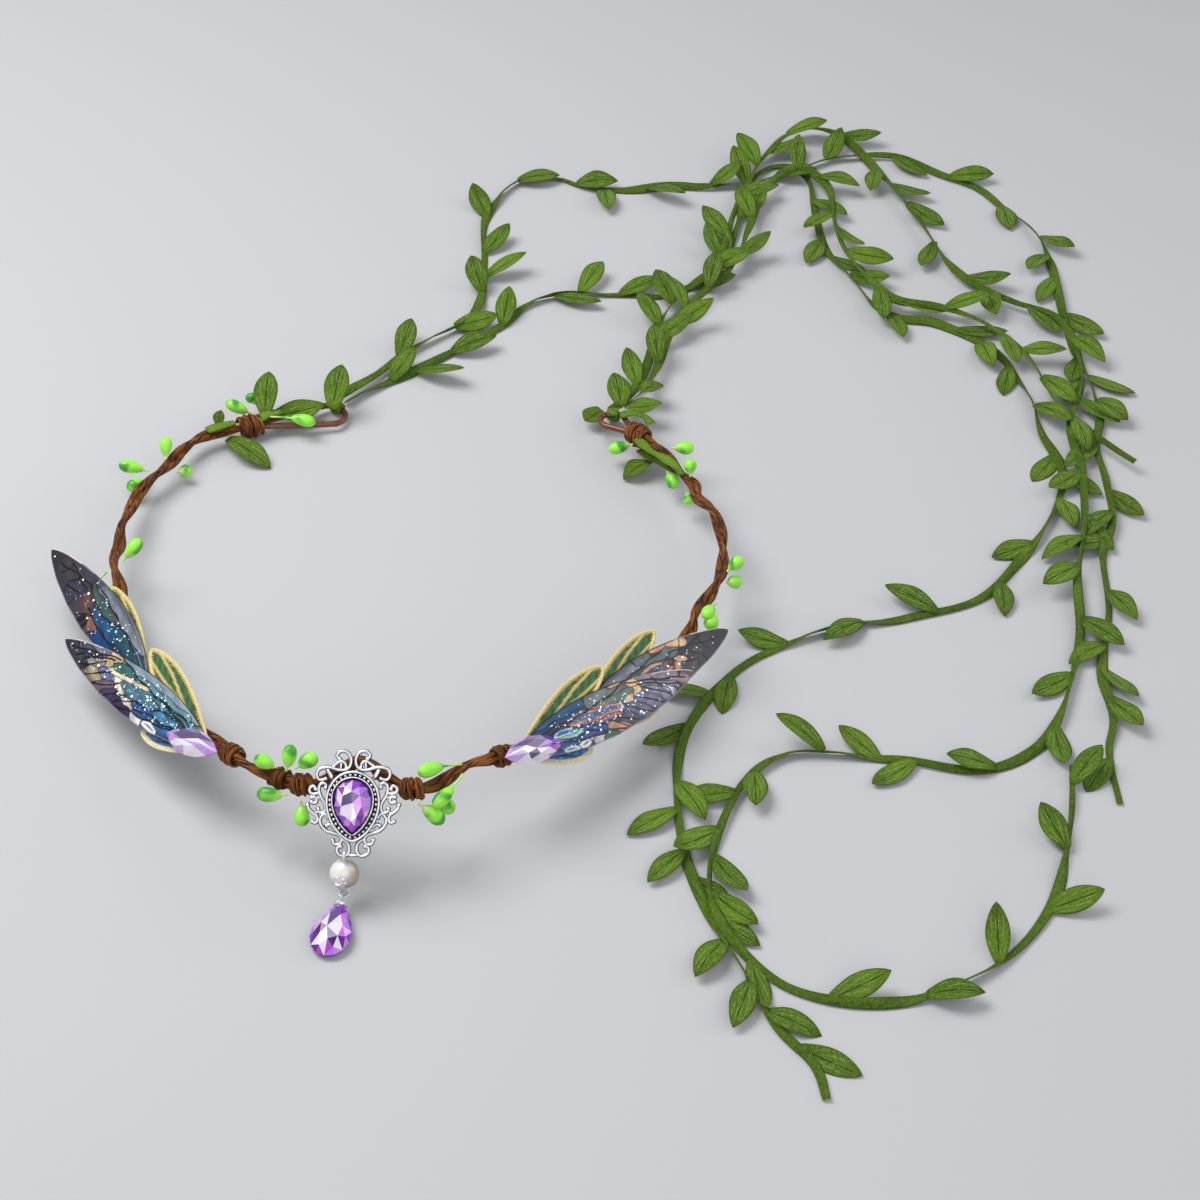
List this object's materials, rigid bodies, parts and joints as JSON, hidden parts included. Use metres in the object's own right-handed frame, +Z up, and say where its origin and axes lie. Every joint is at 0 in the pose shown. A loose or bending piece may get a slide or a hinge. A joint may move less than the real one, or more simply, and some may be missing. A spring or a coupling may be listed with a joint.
{
  "type": "fairy crown headband",
  "caption": "Open twisted-twine crown band with a jewelled filigree front plate, a hanging pendant, insect-like resin wings at its sides, green buds and long tied leaf ribbons.",
  "frame": {"origin": "middle of the crown's box without its four loose ribbons, on the surface it lies on", "axes": "+Z up, -Y to the front with the plate, +X to the wearer's left as the crown lies"},
  "size_m": [0.3308, 0.4695, 0.0353],
  "materials": {
    "twisted_twine": "matte fibrous paper twine",
    "copper_twine": "matte twisted paper twine",
    "copper_wire": "satin enamelled wire",
    "antique_silver": "cast metal, darkened in its low parts",
    "purple_crystal": "faceted, polished, backed with foil",
    "lilac_crystal": "faceted, polished, backed with foil",
    "white_pearl": "pearlescent gloss",
    "wing_resin": "clear tinted resin with film and veins",
    "embroidered_fabric": "stitched and painted",
    "bud_green": "satin",
    "leaf_satin": "satin ribbon with pressed veins"
  },
  "bodies": {
    "root": {"band": "twisted_twine", "left_end_loop": "copper_wire", "right_end_loop": "copper_wire", "left_end_winding": "copper_twine", "right_end_winding": "copper_twine", "left_front_winding": "copper_twine", "right_front_winding": "copper_twine", "left_wing_winding": "copper_twine", "right_wing_winding": "copper_twine", "bud_knot": "twisted_twine", "filigree_plate": "antique_silver", "center_stone": "purple_crystal", "eye_pin": "antique_silver", "pearl": "white_pearl", "drop_cap": "antique_silver", "drop_stone": "purple_crystal", "left_front_wing": "wing_resin", "left_rear_wing": "wing_resin", "right_front_wing": "wing_resin", "right_rear_wing": "wing_resin", "left_front_backing": "embroidered_fabric", "left_rear_backing": "embroidered_fabric", "right_front_backing": "embroidered_fabric", "right_rear_backing": "embroidered_fabric", "side_stone_left": "lilac_crystal", "side_stone_right": "lilac_crystal", "front_left_buds": "bud_green", "front_right_buds": "bud_green", "left_side_buds": "bud_green", "left_back_buds": "bud_green", "left_loop_buds": "bud_green", "right_lower_buds": "bud_green", "right_side_buds": "bud_green", "right_back_buds": "bud_green", "right_loop_buds": "bud_green", "left_tie": "leaf_satin", "right_tie": "leaf_satin", "left_tie_leaves": "leaf_satin", "right_tie_leaves": "leaf_satin", "ribbon_a": "leaf_satin", "ribbon_b": "leaf_satin", "ribbon_c": "leaf_satin", "ribbon_d": "leaf_satin", "ribbon_a_leaves": "leaf_satin", "ribbon_b_leaves": "leaf_satin", "ribbon_c_leaves": "leaf_satin", "ribbon_d_leaves": "leaf_satin"}
  },
  "joints": []
}
